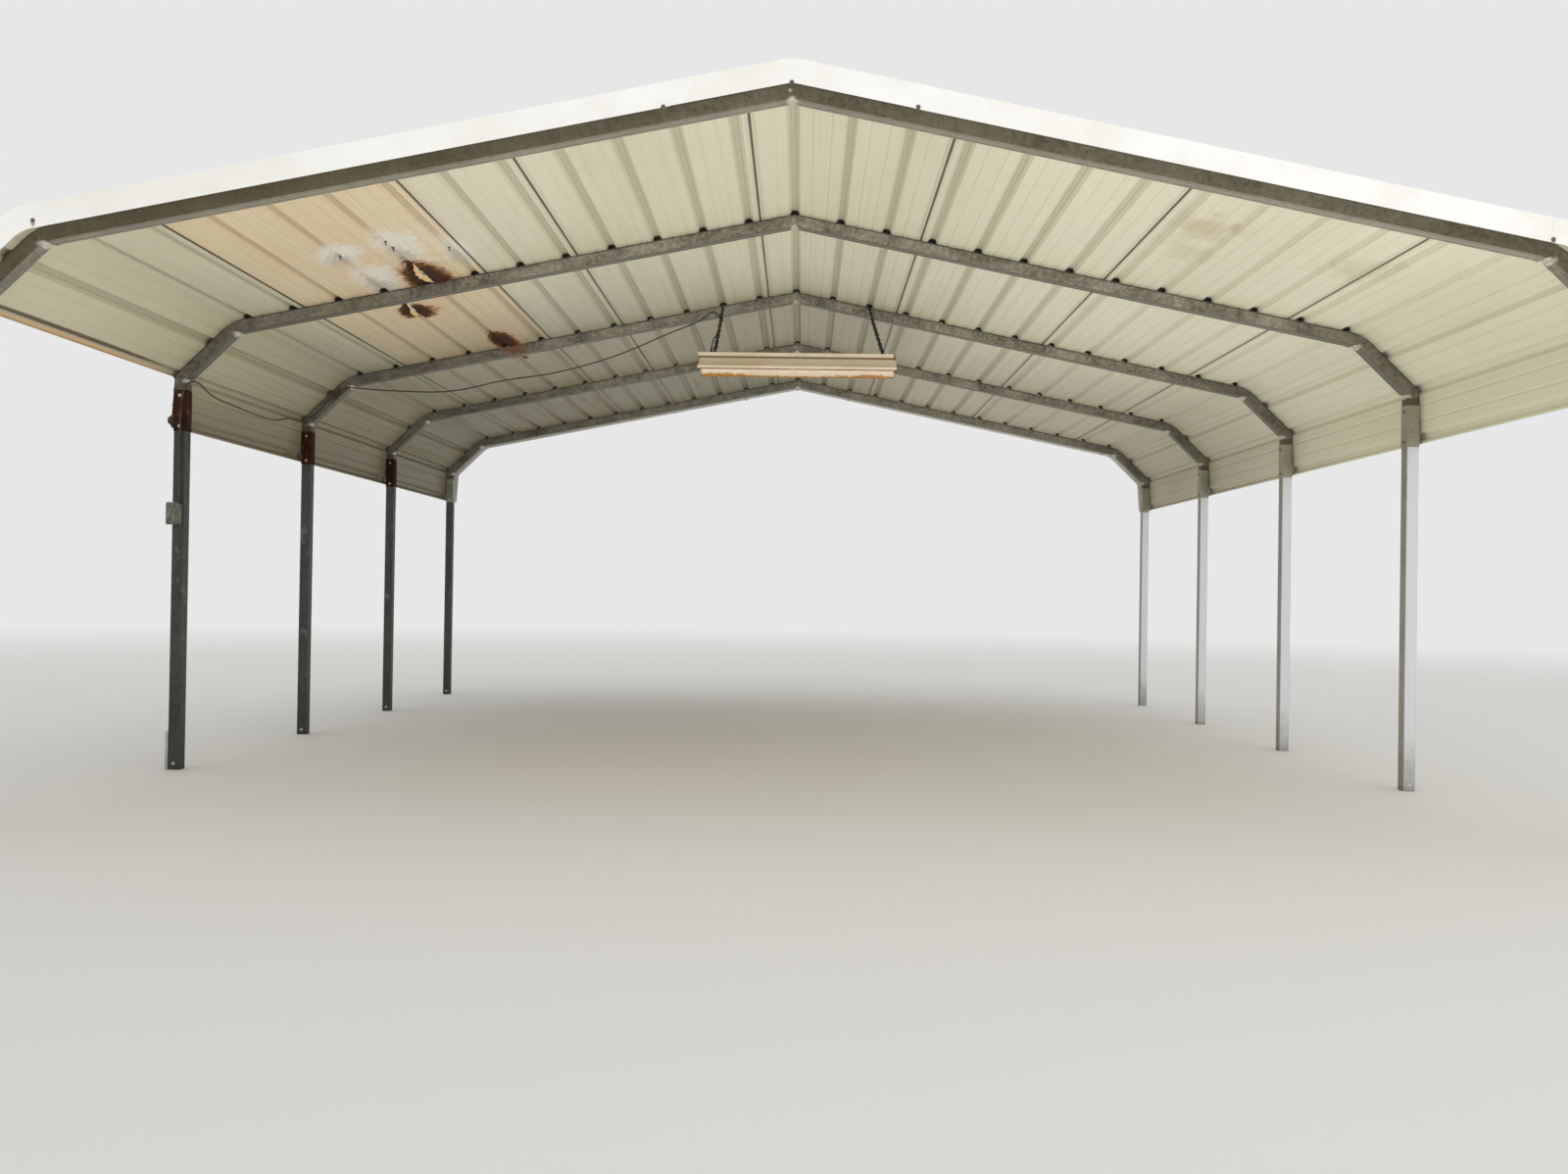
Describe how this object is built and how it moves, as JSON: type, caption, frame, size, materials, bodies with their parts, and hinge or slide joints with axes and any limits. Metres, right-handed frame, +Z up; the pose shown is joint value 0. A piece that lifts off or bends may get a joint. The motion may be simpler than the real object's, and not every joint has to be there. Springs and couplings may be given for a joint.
{
  "type": "two-car carport",
  "caption": "Open-sided two-car carport: galvanised square-tube bows on posts under ribbed cream steel sheets, with white edge trim and a hanging tube lamp.",
  "frame": {"origin": "on the ground under the middle of the roof", "axes": "+X across the carport to the right seen from the open front, +Y from front to rear, +Z up"},
  "size_m": [6.1944, 6.4042, 2.8046],
  "materials": {
    "galvanised": "mottled zinc coating, dull",
    "rusty_sleeve": "rusted steel, matte",
    "cream_sheet": "cream painted steel sheet, satin",
    "tan_sheet": "discoloured tan painted steel sheet, satin",
    "white_trim": "white painted steel trim, satin",
    "grey_box": "weathered grey metal, dull",
    "light_enamel": "aged white enamel, rust at the edges",
    "lamp_holder": "white moulded plastic",
    "lamp_tube": "white coated glass tube",
    "hanger_wire": "dark steel wire",
    "cable_black": "black cable sheath, dull"
  },
  "bodies": {
    "root": {"bow_1": "galvanised", "post_left_1": "galvanised", "sleeve_left_1": "galvanised", "post_right_1": "galvanised", "sleeve_right_1": "galvanised", "bow_2": "galvanised", "post_left_2": "galvanised", "sleeve_left_2": "rusty_sleeve", "post_right_2": "galvanised", "sleeve_right_2": "galvanised", "bow_3": "galvanised", "post_left_3": "galvanised", "sleeve_left_3": "rusty_sleeve", "post_right_3": "galvanised", "sleeve_right_3": "galvanised", "bow_4": "galvanised", "post_left_4": "galvanised", "sleeve_left_4": "rusty_sleeve", "post_right_4": "galvanised", "sleeve_right_4": "galvanised", "bow_5": "galvanised", "post_left_5": "galvanised", "sleeve_left_5": "galvanised", "post_right_5": "galvanised", "sleeve_right_5": "galvanised", "sheet_left_eave": "cream_sheet", "sheet_left_lower": "tan_sheet", "sheet_left_middle": "cream_sheet", "sheet_left_upper": "cream_sheet", "sheet_ridge": "cream_sheet", "sheet_right_upper": "cream_sheet", "sheet_right_lower": "cream_sheet", "sheet_right_eave": "cream_sheet", "front_trim_runs": "white_trim", "front_trim_caps": "white_trim", "rear_trim_runs": "white_trim", "rear_trim_caps": "white_trim", "outlet_box": "grey_box", "light_housing": "light_enamel", "light_reflector": "light_enamel", "light_holders": "lamp_holder", "light_lamps": "lamp_tube", "hanger_left": "hanger_wire", "hanger_right": "hanger_wire", "foot_angle_left": "galvanised", "light_cable": "cable_black"}
  },
  "joints": []
}
